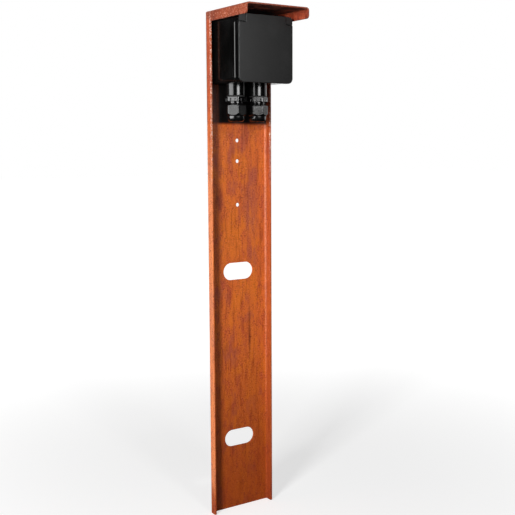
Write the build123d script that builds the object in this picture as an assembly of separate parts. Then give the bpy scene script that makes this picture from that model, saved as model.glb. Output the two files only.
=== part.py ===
"""Garden socket post: a folded weathering-steel channel with a roof over a single lidded socket box.

Millimetres. X is the post's width, Y runs from the front to the back, Z is up. The origin is the bottom
middle of the post's back face, which goes against the wall: everything else lies at negative Y.
"""
import os

from build123d import *

os.makedirs("parts", exist_ok=True)

to_front = (0, -1, 0)
to_right = (1, 0, 0)
pieces = {}

# Post and roof: one channel section, folded from sheet
post_height = 650.0
flange_depth = 13.0
sheet = 2.0
bend_inside = 2.0
roof_depth = 95.0
roof_corner = 4.0
foot_corner = 2.0
weld_leg = 3.0
weld_throat_share = 0.4
weld_end_gap = 4.5

# Holes in the web, heights of their centres above the foot
slot_length = 45.0
slot_width = 22.5
upper_slot_height = 321.0
lower_slot_height = 96.0
tie_hole = 5.0
tie_hole_heights = (491.0, 464.5, 408.0)

# Socket box: back box, cover frame and lid, from the web forwards
box_width = 78.0
box_height = 80.0
box_foot_corner = 7.0
box_head_corner = 4.0
box_wall = 2.5
box_side_gap = 4.5
roof_gap = 7.4
base_depth = 48.0
frame_depth = 9.6
frame_plate = 2.5
frame_edge = 2.0
lid_gap = 3.0
lid_overhang = 0.5
lid_wall = 1.8
lid_face = 2.2
lid_corner = 6.5
lid_edge = 0.7
inner_corner = 0.8
seam_step = 0.5

# Hinge along the lid's top edge
hinge_drop = 4.4
hinge_stand_off = 5.0
pin_diameter = 3.0
pin_fit = 0.05
pin_end_wall = 1.3
ear_width = 9.4
ear_gap = 0.4
ear_set_back = 0.3
ear_drop = 5.0
ear_corner = 0.8
shoulder_gap = 0.3
knuckle_diameter = 6.0
swing_gap = 0.9
spring_bay = 16.0
trough_wall = 1.8

# Lid spring, wound round the hinge pin
lid_spring_wire = 0.7
lid_spring_slack = 0.15
lid_spring_pitch = 1.3
lid_spring_full_turns = 6
lid_spring_leg = 6.5
lid_spring_front_gap = 0.15

# Seals of the box: round rim about the socket, the lid's gasket between two ribs, the gasket behind the frame
rim_set_out = 1.2
rim_wall = 1.8
lid_gasket_width = 4.0
lid_gasket_thickness = 2.2
seal_gap = 0.3
gasket_gap = 0.3
rib_wall = 1.0
rib_set_back = 0.6
frame_gasket_thickness = 1.0
gasket_inset = 0.65
gasket_fit = 0.05

# Screws and their posts
post_boss = 9.6
insert_boss = 7.0
boss_rib = 1.6
frame_screw_diameter = 3.6
frame_screw_length = 22.0
frame_screw_head = 6.6
frame_screw_head_height = 2.4
frame_screw_side_inset = 7.0
frame_screw_low_inset = 8.6
frame_screw_web = 1.3
head_sink = 0.5
screw_fit = 0.05
screw_clearance = 0.3
blind_hole_extra = 2.0
insert_screw_diameter = 3.2
insert_screw_length = 12.0
insert_screw_head = 6.0
insert_screw_head_height = 2.2
fixing_screw_diameter = 4.0
fixing_screw_head = 8.0
fixing_screw_head_height = 2.8
fixing_screw_short = 0.3
fixing_screw_spread = 50.0
washer_diameter = 9.5
washer_thickness = 0.9
recess_width = 0.9
recess_depth = 1.0
recess_span_share = 0.33
head_round_share = 0.33

# Socket insert: round well for an earth-clip plug
well_drop = 3.2
well_diameter = 39.2
well_depth = 17.5
well_stand_out = 3.0
cup_wall = 2.4
cup_floor = 2.4
cup_gap = 0.3
cup_ear_height = 14.0
cup_ear_corner = 3.0
cup_ear_gap = 1.0
pin_pitch = 19.0
pin_hole = 6.0
guide_rib_width = 4.6
guide_rib_height = 2.2
earth_width = 6.0
earth_strip = 0.8
earth_gap = 0.4
earth_reach = 12.4
earth_bulge = 2.6
earth_return = 9.0
earth_bulge_back = 4.5
earth_lift_back = 1.3
earth_seat = 0.4
block_gap = 0.5
block_depth = 17.2
block_corner = 4.0

# Pin shutter inside the contact block
shutter_width = 26.0
shutter_height = 10.0
shutter_thickness = 5.0
shutter_lip = 1.2
shutter_travel = 7.0
shutter_gap = 0.3
shutter_hole = 6.6
spring_bay_wall = 0.6
shutter_spring_wire = 0.4
shutter_spring_diameter = 3.2
shutter_spring_turns = 6

# Contacts and terminals
sleeve_diameter = 6.2
sleeve_wall = 0.75
sleeve_slot = 1.0
sleeve_fit = 0.2
terminal_size = 7.6
terminal_drop = 9.0
terminal_pitch = 13.2
wire_hole = 3.4
terminal_screw_diameter = 3.5
terminal_screw_head = 5.4
terminal_screw_head_height = 2.0

# Cable entries and glands, each size from the cable's passage outwards
gland_gap = 4.3
gland_stand_off = 22.5
cable_bore = 10.0
cable_seal_length = 13.0
seal_fit = 0.1
gland_bore = 12.8
seat_step = 0.8
finger_wall = 1.5
finger_step = 0.3
finger_taper = 1.2
finger_count = 8
finger_slot = 1.2
finger_end_gap = 5.7
thread_height = 0.9
thread_fit = 0.05
thread_length = 10.0
spout_wall = 2.1
spout_length = 14.6
spout_edge = 0.8
face_seal_thickness = 1.0
face_seal_inset = 0.4
hexagon_sides = 6
collar_height = 6.0
collar_notch = 1.2
collar_notch_depth = 0.7
collar_notch_spacing = 6.0
collar_notch_height = 4.0
neck_shown = 4.7
neck_length = 9.0
nut_height = 13.0
nut_dome_height = 7.0
nut_fit = 0.08
nut_root_step = 0.8
nut_end_ring = 1.3
nut_lip = 0.6
nut_hex_chamfer = 1.4
nut_dome_bulge = 0.9
nut_rib_grooves = 4
nut_groove = 0.9
nut_groove_depth = 0.5
nut_groove_pitch = 2.5
nut_turns = {"left": -20.0, "right": 2.0}

overrun = 1.0

# Levels and sizes worked out from the driving sizes
post_width = box_width + 2 * (box_side_gap + sheet)
web_front = -sheet
base_front = web_front - base_depth
frame_front = base_front - frame_depth
lid_back = frame_front - lid_gap
box_top = post_height - sheet - roof_gap
box_bottom = box_top - box_height
box_middle = (box_top + box_bottom) / 2
lid_top = box_top + lid_overhang
lid_bottom = box_bottom - lid_overhang
lid_half_width = box_width / 2 + lid_overhang

hinge_y = frame_front - hinge_stand_off
hinge_z = box_top - hinge_drop
lid_spring_radius = (pin_diameter + lid_spring_wire) / 2 + lid_spring_slack
lid_inside = hinge_y - lid_spring_radius - lid_spring_wire / 2 - lid_spring_front_gap
lid_front = lid_inside - lid_face
lid_depth = lid_back - lid_front
ear_inner = box_width / 2 - ear_width
knuckle_half_width = ear_inner - ear_gap
shoulder_z = hinge_z - ear_drop - shoulder_gap
ear_front = lid_front + ear_set_back
ear_swing_radius = ((hinge_y - ear_front) ** 2 + ear_drop ** 2) ** 0.5 + shoulder_gap
swing_radius = (hinge_drop + lid_overhang) * 2 ** 0.5
trough_radius = swing_radius + swing_gap - ear_set_back

frame_screw_hole = frame_screw_head / 2 + screw_clearance
frame_screw_high_z = hinge_z - trough_radius - trough_wall - frame_screw_web - frame_screw_hole
well_z = (box_bottom + hinge_z) / 2 - well_drop
cup_front = frame_front - well_stand_out
well_floor = cup_front + well_depth
cup_back = well_floor + cup_floor
cup_radius = well_diameter / 2 + cup_wall
rim_radius = cup_radius + rim_set_out + rim_wall
rim_front = lid_inside + lid_gasket_thickness + seal_gap
lid_gasket_radius = rim_radius - rim_wall / 2 + lid_gasket_width / 2
frame_gasket_width = box_wall - 2 * gasket_inset
insert_screw_x = (cup_radius + box_width / 2 - box_wall) / 2
block_back = cup_back + block_depth
block_width = 2 * (insert_screw_x - insert_boss / 2 - block_gap)
block_height = well_diameter + 2 * earth_seat
spring_bay_end = block_width / 2 - spring_bay_wall
terminal_z = well_z - terminal_drop

seat_diameter = gland_bore + 2 * seat_step
cable_seal_diameter = seat_diameter - 2 * seal_fit
finger_diameter = seat_diameter + 2 * finger_wall
finger_tip_diameter = finger_diameter - 2 * finger_taper
neck_diameter = finger_diameter + 2 * finger_step
thread_diameter = neck_diameter + 2 * thread_height
spout_diameter = thread_diameter + 2 * spout_wall
hex_across = spout_diameter
hex_corner = hex_across / 3 ** 0.5
gland_pitch = 2 * hex_corner + gland_gap
gland_y = web_front - gland_stand_off
spout_end = box_bottom - spout_length
collar_top = spout_end - face_seal_thickness
collar_bottom = collar_top - collar_height
neck_bottom = collar_bottom - neck_length
seal_top = collar_bottom - neck_shown
nut_top = collar_bottom - neck_shown
nut_bottom = nut_top - nut_height
nut_end = nut_bottom - nut_dome_height
finger_bottom = nut_end + finger_end_gap


def facing(x, y, z):
    """Plane seen from the front: its X is to the right, its Y is up and it extrudes towards the front."""
    return Plane(origin=(x, y, z), x_dir=to_right, z_dir=to_front)


def brick(x_span, y_span, z_span):
    """Block between two limits on each axis."""
    spans = (x_span, y_span, z_span)
    size = [abs(high - low) for low, high in spans]
    middle = [(low + high) / 2 for low, high in spans]
    return Pos(*middle) * Box(*size)


def bar(start, end, radius):
    """Round bar between two points."""
    run = Vector(*end) - Vector(*start)
    return extrude(Plane(origin=start, z_dir=run.normalized()) * Circle(radius), amount=run.length)


def drum(x, z, back, front, radius):
    """Round bar along Y, from its back level to its front level."""
    return bar((x, back, z), (x, front, z), radius)


def pad(width, height, corner, z, back, front):
    """Plate with rounded corners, standing upright between two Y levels."""
    return extrude(facing(0, back, z) * RectangleRounded(width, height, corner), amount=back - front)


def turned(half_section):
    """Ring or bar turned about the Z axis from a half section of radius and height pairs."""
    return revolve(Plane.XZ * make_face(Polyline(*half_section, close=True)), axis=Axis.Z)


def hex_bar(across, bottom, top):
    """Hexagonal bar standing on a Z level, given across its flats."""
    outline = RegularPolygon(radius=across / 2, side_count=6, major_radius=False)
    return extrude(Pos(0, 0, bottom) * outline, amount=top - bottom)


def pan_screw(x, z, seat, diameter, length, head, head_height):
    """Screw whose head sits on the Y level seat and whose shank runs back from it, with a cross recess."""
    shank = drum(x, z, seat + length, seat - head_height / 2, diameter / 2)
    crown = drum(x, z, seat, seat - head_height, head / 2)
    front_edge = crown.edges().filter_by(GeomType.CIRCLE).sort_by(Axis.Y)[0]
    crown = fillet(front_edge, head_height * head_round_share)
    face = seat - head_height
    cross_span = head * recess_span_share
    cross_back = face + recess_depth
    upright = brick(
        (x - recess_width / 2, x + recess_width / 2), (face - overrun, cross_back),
        (z - cross_span, z + cross_span),
    )
    level = brick(
        (x - cross_span, x + cross_span), (face - overrun, cross_back),
        (z - recess_width / 2, z + recess_width / 2),
    )
    return shank + crown - upright - level


def strip(path, thickness):
    """Outline of bent strip metal of one thickness whose left side follows a path of points."""
    points = [Vector(*point) for point in path]
    count = len(points)
    other_side = []
    for index, point in enumerate(points):
        before = points[max(index - 1, 0)]
        after = points[min(index + 1, count - 1)]
        into = (point - before).normalized() if index else (after - point).normalized()
        out = (after - point).normalized() if index < count - 1 else into
        normal = Vector(into.Y, -into.X) + Vector(out.Y, -out.X)
        reach = 2 * thickness / normal.length ** 2
        other_side.append(point + normal * reach)
    outline = points + other_side[::-1]
    return make_face(Polyline(*outline, close=True))


def channel_section():
    """The folded section: web along X with its back at Y zero, flanges towards negative Y."""
    half = post_width / 2
    inner = half - sheet
    section = make_face(
        Polyline(
            (-half, -flange_depth),
            (-half, 0),
            (half, 0),
            (half, -flange_depth),
            (inner, -flange_depth),
            (inner, -sheet),
            (-inner, -sheet),
            (-inner, -flange_depth),
            close=True,
        )
    )
    backs = section.vertices().group_by(Axis.Y)
    section = fillet(backs[-1], bend_inside + sheet)
    fronts = section.vertices().filter_by(lambda v: abs(v.Y + sheet) < sheet / 4)
    return fillet(fronts, bend_inside)


def mitre_wedge(above):
    """Everything above, or below, the 45 degree cut between post and roof, as far as either reaches."""
    reach = roof_depth + overrun
    low = (-reach, post_height - reach)
    high = (overrun, post_height + overrun)
    corner = (-reach, post_height + overrun) if above else (overrun, post_height - reach)
    triangle = make_face(Polyline(low, high, corner, close=True))
    return extrude(Plane.YZ * triangle, amount=post_width, both=True)


# The post: its foot is open and its web carries the slots and the small tie holes
def make_post():
    post = extrude(channel_section(), amount=post_height)
    post = post - mitre_wedge(above=True)
    for height in (upper_slot_height, lower_slot_height):
        slot = facing(0, overrun, height) * SlotOverall(slot_length, slot_width)
        post -= extrude(slot, amount=sheet + 2 * overrun)
    for height in tie_hole_heights:
        post -= drum(0, height, overrun, web_front - overrun, tie_hole / 2)
    for side in (1, -1):
        post -= drum(0, box_middle + side * fixing_screw_spread / 2, overrun, web_front - overrun,
                     fixing_screw_diameter / 2 + screw_fit)
    foot = post.edges().filter_by(Axis.X).group_by(Axis.Z)[0].group_by(Axis.Y)[0]
    return fillet(foot, foot_corner)


# The roof: the same section run forwards, with its free lower corners rounded
def make_roof():
    roof = extrude(facing(0, 0, post_height) * channel_section(), amount=roof_depth)
    roof = roof - mitre_wedge(above=False)
    tips = roof.edges().filter_by(Axis.X).group_by(Axis.Y)[0].group_by(Axis.Z)[0]
    return fillet(tips, roof_corner)


# Fillet weld laid in the inner corner between the web and the roof
def make_weld():
    ceiling = post_height - sheet
    throat_leg = weld_leg * weld_throat_share
    throat = (web_front - throat_leg, ceiling - throat_leg)
    bead = make_face(
        Line((web_front, ceiling), (web_front, ceiling - weld_leg))
        + ThreePointArc((web_front, ceiling - weld_leg), throat, (web_front - weld_leg, ceiling))
        + Line((web_front - weld_leg, ceiling), (web_front, ceiling))
    )
    run = post_width / 2 - sheet - weld_end_gap
    return extrude(Plane.YZ * bead, amount=run, both=True)


pieces["post_channel"] = make_post()
pieces["roof_cap"] = make_roof()
pieces["corner_weld"] = make_weld()

# Places of the screws in the box, as X and Z
frame_screw_places = [
    (side * (box_width / 2 - frame_screw_side_inset), z)
    for side in (-1, 1)
    for z in (box_bottom + frame_screw_low_inset, frame_screw_high_z)
]
insert_screw_places = [(side * insert_screw_x, well_z) for side in (-1, 1)]
fixing_screw_heights = [box_middle + side * fixing_screw_spread / 2 for side in (-1, 1)]
gland_places = {"left": -gland_pitch / 2, "right": gland_pitch / 2}


def box_pad(inset, back, front):
    """The box's outline between two Y levels, drawn in all round by inset, rounder at its lower corners."""
    face = Rectangle(box_width - 2 * inset, box_height - 2 * inset)
    face = fillet(face.vertices().group_by(Axis.Y)[0], box_foot_corner - inset)
    face = fillet(face.vertices().group_by(Axis.Y)[-1], box_head_corner - inset)
    return extrude(facing(0, back, box_middle) * face, amount=back - front)


def gasket_ring(back, front, inset, width):
    """Rounded ring that follows the box's wall, set in from its outer face."""
    return box_pad(inset, back, front) - box_pad(inset + width, back + overrun, front - overrun)


# Back box: moulded shell with screw posts and two round cable entries under it
def make_back_box():
    outside = box_pad(0, web_front, base_front)
    shell = outside - box_pad(box_wall, web_front - box_wall, base_front - overrun)
    floor = web_front - box_wall / 2
    for x, z in frame_screw_places:
        shell += drum(x, z, floor, base_front, post_boss / 2)
    for x, z in insert_screw_places:
        wall_side = box_width / 2 if x > 0 else -box_width / 2
        shell += drum(x, z, floor, cup_back, insert_boss / 2)
        shell += brick((x, wall_side), (floor, cup_back), (z - boss_rib / 2, z + boss_rib / 2))
    shell = shell & outside
    for x in gland_places.values():
        spout = bar((x, gland_y, box_bottom + box_wall), (x, gland_y, spout_end), spout_diameter / 2)
        spout = fillet(spout.edges().filter_by(GeomType.CIRCLE).sort_by(Axis.Z)[0], spout_edge)
        shell += spout
    for x in gland_places.values():
        top = box_bottom + box_wall + overrun
        shell -= bar((x, gland_y, top), (x, gland_y, spout_end - overrun), thread_diameter / 2 + thread_fit)
    for x, z in frame_screw_places:
        screw_end = frame_front + head_sink + frame_screw_head_height + frame_screw_length
        hole = frame_screw_diameter / 2 + screw_fit
        shell -= drum(x, z, screw_end + blind_hole_extra, base_front - overrun, hole)
    for x, z in insert_screw_places:
        screw_end = well_floor + insert_screw_length
        hole = insert_screw_diameter / 2 + screw_fit
        shell -= drum(x, z, screw_end + blind_hole_extra, cup_back - overrun, hole)
    for z in fixing_screw_heights:
        hole = fixing_screw_diameter / 2 + screw_clearance
        shell -= drum(0, z, web_front + overrun, web_front - box_wall - overrun, hole)
    groove_floor = base_front + frame_gasket_thickness
    return shell - gasket_ring(groove_floor, base_front - overrun, gasket_inset, frame_gasket_width)


def make_frame_gasket():
    back = base_front + frame_gasket_thickness
    width = frame_gasket_width - 2 * gasket_fit
    return gasket_ring(back, base_front, gasket_inset + gasket_fit, width)


# Screws that hold the back box to the post's web, threaded into the sheet and ending short of its back face
def make_fixing_screws():
    seat = web_front - box_wall - washer_thickness
    length = -seat - fixing_screw_short
    return [
        pan_screw(0, z, seat, fixing_screw_diameter, length, fixing_screw_head, fixing_screw_head_height)
        for z in fixing_screw_heights
    ]


def make_fixing_washers():
    face = web_front - box_wall
    hole = fixing_screw_diameter / 2 + screw_fit
    return [
        drum(0, z, face, face - washer_thickness, washer_diameter / 2)
        - drum(0, z, face + overrun, face - washer_thickness - overrun, hole)
        for z in fixing_screw_heights
    ]


pieces["back_box"] = make_back_box()
pieces["frame_gasket"] = make_frame_gasket()
pieces["box_fixing_screws"] = make_fixing_screws()
pieces["box_fixing_washers"] = make_fixing_washers()


def hinge_ear(side):
    """Square ear at one top corner, its front almost level with the lid's."""
    span = (side * ear_inner, side * box_width / 2)
    root = frame_front + frame_plate
    ear = brick(span, (ear_front, root), (hinge_z - ear_drop, box_top))
    lower_edges = ear.edges().filter_by(Axis.X).group_by(Axis.Z)[0]
    ear = fillet(lower_edges.sort_by(Axis.Y)[0], ear_corner)
    return ear & box_pad(0, root, ear_front - overrun)


def ring(back, front, radius, wall):
    """Ring about the socket's axis, given by its outer radius and its wall."""
    inside = drum(0, well_z, back + overrun, front - overrun, radius - wall)
    return drum(0, well_z, back, front, radius) - inside


def hinge_bar(half_length, radius):
    """Round bar along the hinge axis."""
    return bar((-half_length, hinge_y, hinge_z), (half_length, hinge_y, hinge_z), radius)


# Cover frame: shallow tray round the socket, with the sealing rim, the ears and the trough of the hinge
def make_cover_frame():
    body = box_pad(0, base_front - seam_step, frame_front)
    body = fillet(body.faces().sort_by(Axis.Y)[0].edges(), frame_edge)
    outline = body + box_pad(seam_step, base_front, base_front - seam_step)
    body = outline - box_pad(box_wall, base_front + overrun, frame_front + frame_plate)
    for x, z in frame_screw_places:
        body += drum(x, z, base_front, frame_front + frame_plate / 2, post_boss / 2)
    body += hinge_bar(ear_inner + trough_wall, trough_radius + trough_wall)
    body = body & outline
    body -= hinge_bar(ear_inner, trough_radius)
    for side in (-1, 1):
        body += hinge_ear(side)
    body += ring(frame_front + frame_plate / 2, rim_front, rim_radius, rim_wall)
    body -= drum(0, well_z, base_front + overrun, frame_front - overrun, cup_radius + cup_gap)
    for x, z in frame_screw_places:
        seat = frame_front + head_sink + frame_screw_head_height
        body -= drum(x, z, seat, frame_front - overrun, frame_screw_hole)
        body -= drum(x, z, base_front + overrun, seat - overrun, frame_screw_diameter / 2 + screw_clearance)
    blind_end = box_width / 2 - pin_end_wall
    pin_hole_start = (-blind_end, hinge_y, hinge_z)
    pin_hole_end = (box_width / 2 + overrun, hinge_y, hinge_z)
    body -= bar(pin_hole_start, pin_hole_end, pin_diameter / 2 + pin_fit / 2)
    return body


def make_frame_screws():
    seat = frame_front + head_sink + frame_screw_head_height
    return [
        pan_screw(
            x, z, seat, frame_screw_diameter, frame_screw_length, frame_screw_head, frame_screw_head_height
        )
        for x, z in frame_screw_places
    ]


def make_hinge_pin():
    start = (pin_end_wall - box_width / 2, hinge_y, hinge_z)
    end = (box_width / 2 - pin_end_wall, hinge_y, hinge_z)
    return bar(start, end, pin_diameter / 2)


pieces["cover_frame"] = make_cover_frame()
pieces["frame_screws"] = make_frame_screws()
pieces["hinge_pin"] = make_hinge_pin()


def lid_outline(inset):
    """The lid seen from the front, drawn in all round: full width below the ears, narrower between them."""
    half = lid_half_width - inset
    neck = knuckle_half_width - inset
    low = lid_bottom + inset
    step = shoulder_z - inset
    top = lid_top - inset
    face = make_face(
        Polyline(
            (-half, low), (half, low), (half, step), (neck, step), (neck, top), (-neck, top), (-neck, step),
            (-half, step), close=True,
        )
    )
    bottom = face.vertices().group_by(Axis.Y)[0]
    face = fillet(bottom, max(lid_corner - inset, inner_corner))
    others = face.vertices().filter_by(lambda v: v.Y > shoulder_z - inset - lid_wall / 2)
    return fillet(others, inner_corner)


# Lid: moulded tray with a flat face, hinge knuckles behind its top edge and ribs that hold its gasket
def make_lid():
    lid = extrude(facing(0, lid_back, 0) * lid_outline(0), amount=lid_depth)
    front_edges = lid.faces().sort_by(Axis.Y)[0].edges()
    lid = fillet(front_edges, lid_edge)
    hollow_depth = lid_back + overrun - lid_inside
    lid -= extrude(facing(0, lid_back + overrun, 0) * lid_outline(lid_wall), amount=hollow_depth)
    shoulder_side = lid_half_width + overrun
    for side in (-1, 1):
        ends = [(side * reach, hinge_y, hinge_z) for reach in (knuckle_half_width, shoulder_side)]
        lid -= bar(*ends, ear_swing_radius)
    knuckle_reach = knuckle_half_width - lid_wall / 2
    lid += hinge_bar(knuckle_reach, knuckle_diameter / 2)
    half_knuckle = knuckle_diameter / 2
    lid += brick(
        (-knuckle_reach, knuckle_reach), (lid_inside - lid_face / 2, hinge_y),
        (hinge_z - half_knuckle, hinge_z + half_knuckle),
    )
    bay = brick(
        (-spring_bay / 2, spring_bay / 2), (lid_inside, lid_back + overrun),
        (hinge_z - half_knuckle - overrun, lid_top - lid_wall),
    )
    lid -= bay
    lid -= hinge_bar(knuckle_half_width + overrun, pin_diameter / 2 + pin_fit)
    rib_back = lid_inside + lid_gasket_thickness - rib_set_back
    rib_root = lid_inside - lid_face / 2
    outer_rib = lid_gasket_radius + gasket_gap + rib_wall
    inner_rib = lid_gasket_radius - lid_gasket_width - gasket_gap
    for radius in (outer_rib, inner_rib):
        lid += ring(rib_back, rib_root, radius, rib_wall)
    return lid


def make_lid_gasket():
    return ring(lid_inside + lid_gasket_thickness, lid_inside, lid_gasket_radius, lid_gasket_width)


def coil(pitch, turns, radius, wire):
    """Wire wound about the Z axis from its start on the X axis, one unbroken tube."""
    path = Helix(pitch=pitch, height=pitch * turns, radius=radius)
    start = path @ 0
    section = Plane(origin=start, z_dir=path % 0) * Circle(wire / 2)
    return sweep(section, path=path)


# Lid spring: coil round the hinge pin with one leg on the frame and one behind the lid's face
def make_lid_spring():
    radius = lid_spring_radius
    turns = lid_spring_full_turns + 1 / 2
    wound = coil(lid_spring_pitch, turns, radius, lid_spring_wire)
    length = lid_spring_pitch * turns
    wire = lid_spring_wire / 2
    back_leg = bar((radius, 0, 0), (radius, -lid_spring_leg, 0), wire)
    front_leg = bar((-radius, 0, length), (-radius, -lid_spring_leg, length), wire)
    spring = wound + back_leg + front_leg
    spring += Pos(radius, 0, 0) * Sphere(wire)
    spring += Pos(-radius, 0, length) * Sphere(wire)
    across = Plane(origin=(-length / 2, hinge_y, hinge_z), x_dir=(0, 1, 0), z_dir=to_right)
    return across * spring


pieces["lid"] = make_lid()
pieces["lid_gasket"] = make_lid_gasket()
pieces["lid_spring"] = make_lid_spring()
print("lid spring least gap", lid_spring_pitch - lid_spring_wire)


# Socket cup: round well with its pin holes, side guide ribs, slots for the earth contacts and two fixing ears
def make_cup():
    cup = drum(0, well_z, cup_back, cup_front, cup_radius)
    ear_span = box_width - 2 * (box_wall + cup_ear_gap)
    cup += pad(ear_span, cup_ear_height, cup_ear_corner, well_z, cup_back, well_floor)
    cup -= drum(0, well_z, well_floor, cup_front - overrun, well_diameter / 2)
    for side in (-1, 1):
        wall_inside = well_diameter / 2
        rib = brick(
            (side * (wall_inside - guide_rib_height), side * (wall_inside + cup_wall / 2)),
            (well_floor, cup_front + cup_wall),
            (well_z - guide_rib_width / 2, well_z + guide_rib_width / 2),
        )
        cup += rib
    for side in (-1, 1):
        cup -= drum(side * pin_pitch / 2, well_z, cup_back + overrun, well_floor - overrun, pin_hole / 2)
    slot_half = earth_width / 2 + earth_gap
    arm_inside = block_height / 2
    for side in (-1, 1):
        slot_start = well_z + side * (arm_inside - earth_bulge - earth_gap)
        slot_end = well_z + side * (cup_radius + overrun)
        slot_depth = (well_floor - earth_reach - overrun, cup_back + overrun)
        cup -= brick((-slot_half, slot_half), slot_depth, (slot_start, slot_end))
    for x, z in insert_screw_places:
        hole = insert_screw_diameter / 2 + screw_clearance
        cup -= drum(x, z, cup_back + overrun, well_floor - overrun, hole)
    return cup


def make_insert_screws():
    return [
        pan_screw(
            x, z, well_floor, insert_screw_diameter, insert_screw_length, insert_screw_head,
            insert_screw_head_height,
        )
        for x, z in insert_screw_places
    ]


# Contact block: moulded body behind the cup with the shutter's pocket and the sleeves' bores
def make_contact_block():
    block = pad(block_width, block_height, block_corner, well_z, block_back, cup_back)
    pocket_half = shutter_height / 2 + shutter_gap
    pocket_back = cup_back + shutter_thickness + shutter_gap
    block -= brick(
        (-shutter_width / 2 - shutter_gap, shutter_width / 2 + shutter_travel + shutter_gap),
        (cup_back - overrun, pocket_back), (well_z - pocket_half, well_z + pocket_half),
    )
    bay_half = shutter_spring_diameter / 2 + shutter_gap
    bay_middle = cup_back + shutter_thickness / 2
    block -= brick(
        (0, spring_bay_end), (bay_middle - bay_half, bay_middle + bay_half),
        (well_z - bay_half, well_z + bay_half),
    )
    for side in (-1, 1):
        x = side * pin_pitch / 2
        pocket_radius = sleeve_diameter / 2 + sleeve_fit
        block -= drum(x, well_z, block_back + overrun, pocket_back - overrun, pocket_radius)
    return block


# Pin shutter: plate with two ramps that both pins must push on together, open where it slides clear
def make_shutter():
    half = shutter_width / 2
    back = cup_back + shutter_thickness + shutter_gap / 2
    front = cup_back + shutter_gap
    ramp_left = pin_hole / 2 - pin_pitch / 2
    window_middle = pin_pitch / 2 - shutter_travel
    window_left = window_middle - shutter_hole / 2
    window_right = window_middle + shutter_hole / 2
    left_part = make_face(
        Polyline(
            (-half, back), (-half, back - shutter_lip), (ramp_left, front), (window_left, front),
            (window_left, back), close=True,
        )
    )
    right_part = make_face(
        Polyline(
            (window_right, back), (window_right, back - shutter_lip), (half, front), (half, back), close=True
        )
    )
    height = shutter_height / 2
    plate = extrude(Pos(0, 0, well_z) * left_part, amount=height, both=True)
    plate += extrude(Pos(0, 0, well_z) * right_part, amount=height, both=True)
    for side in (-1, 1):
        rail = (well_z + side * height, well_z + side * (height - shutter_lip))
        plate += brick((window_left, window_right), (back - shutter_lip, back), rail)
    return plate


def make_shutter_spring():
    start = shutter_width / 2
    length = spring_bay_end - start
    wire = shutter_spring_wire
    radius = (shutter_spring_diameter - wire) / 2
    pitch = (length - wire) / shutter_spring_turns
    wound = coil(pitch, shutter_spring_turns, radius, wire)
    middle = cup_back + shutter_thickness / 2
    place = Plane(origin=(start + wire / 2, middle, well_z), x_dir=(0, 1, 0), z_dir=to_right)
    print("shutter spring least gap", round(pitch - wire, 3))
    return place * wound


# Contact sleeves: rolled brass tubes with a slit, which grip the plug's pins
def make_sleeves():
    front = cup_back + shutter_thickness + shutter_gap
    radius = sleeve_diameter / 2
    sleeves = []
    for side in (-1, 1):
        x = side * pin_pitch / 2
        tube = drum(x, well_z, block_back, front, radius)
        tube -= drum(x, well_z, block_back + overrun, front - overrun, radius - sleeve_wall)
        slit = brick((x - sleeve_slot / 2, x + sleeve_slot / 2), (front - overrun, block_back - sleeve_wall),
                     (well_z, well_z + radius + overrun))
        sleeves.append(tube - slit)
    return sleeves


# Earth bracket: one bent strip round the back of the block, folded into a contact at each end in the well
def make_earth_bracket():
    arm = block_height / 2
    tip = well_floor - earth_reach
    bulge = arm - earth_bulge
    half_path = [
        (tip + earth_return, well_z + arm - earth_lift_back),
        (tip + earth_bulge_back, well_z + bulge),
        (tip, well_z + arm - earth_strip / 2),
        (tip + earth_strip, well_z + arm + earth_strip),
        (block_back + earth_strip, well_z + arm + earth_strip),
    ]
    mirrored = [(y, 2 * well_z - z) for y, z in half_path[::-1]]
    outline = strip(half_path + mirrored, earth_strip)
    return extrude(Plane.YZ * outline, amount=earth_width / 2, both=True)


# Terminals: two brass clamps on the block's back and one on the earth bracket, each with its screw
terminal_places = [
    (-terminal_pitch, block_back),
    (0, block_back + earth_strip),
    (terminal_pitch, block_back),
]


def make_terminal_clamps():
    half = terminal_size / 2
    clamps = []
    for x, front in terminal_places:
        low, high = terminal_z - half, terminal_z + half
        clamp = brick((x - half, x + half), (front, front + terminal_size), (low, high))
        middle = front + terminal_size / 2
        wire_ends = [(x, middle, terminal_z + side * terminal_size) for side in (-1, 1)]
        clamp -= bar(*wire_ends, wire_hole / 2)
        hole = terminal_screw_diameter / 2 + screw_fit
        clamp -= drum(x, terminal_z, front + terminal_size + overrun, middle, hole)
        clamps.append(clamp)
    return clamps


def make_terminal_screws():
    screws = []
    for x, front in terminal_places:
        seat = front + terminal_size
        tip = front + terminal_size / 2 + wire_hole / 2
        head_end = seat + terminal_screw_head_height
        screw = drum(x, terminal_z, seat, tip, terminal_screw_diameter / 2)
        screw += drum(x, terminal_z, head_end, seat, terminal_screw_head / 2)
        half_slot = recess_width / 2
        across = terminal_screw_head / 2 + overrun
        screw -= brick(
            (x - across, x + across), (head_end - recess_depth, head_end + overrun),
            (terminal_z - half_slot, terminal_z + half_slot),
        )
        screws.append(screw)
    return screws


pieces["socket_cup"] = make_cup()
pieces["insert_screws"] = make_insert_screws()
pieces["contact_block"] = make_contact_block()
pieces["pin_shutter"] = make_shutter()
pieces["shutter_spring"] = make_shutter_spring()
pieces["contact_sleeves"] = make_sleeves()
pieces["earth_bracket"] = make_earth_bracket()
pieces["terminal_clamps"] = make_terminal_clamps()
pieces["terminal_screws"] = make_terminal_screws()


def cut_flats(shape, face, middles, width, bottom, top):
    """Takes upright grooves out of each flat of a hexagon, down to a face distance from its axis."""
    for side in range(hexagon_sides):
        for middle in middles:
            groove = brick((face, hex_across), (middle - width / 2, middle + width / 2), (bottom, top))
            shape -= Rot(0, 0, side * 360 / hexagon_sides) * groove
    return shape


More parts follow.
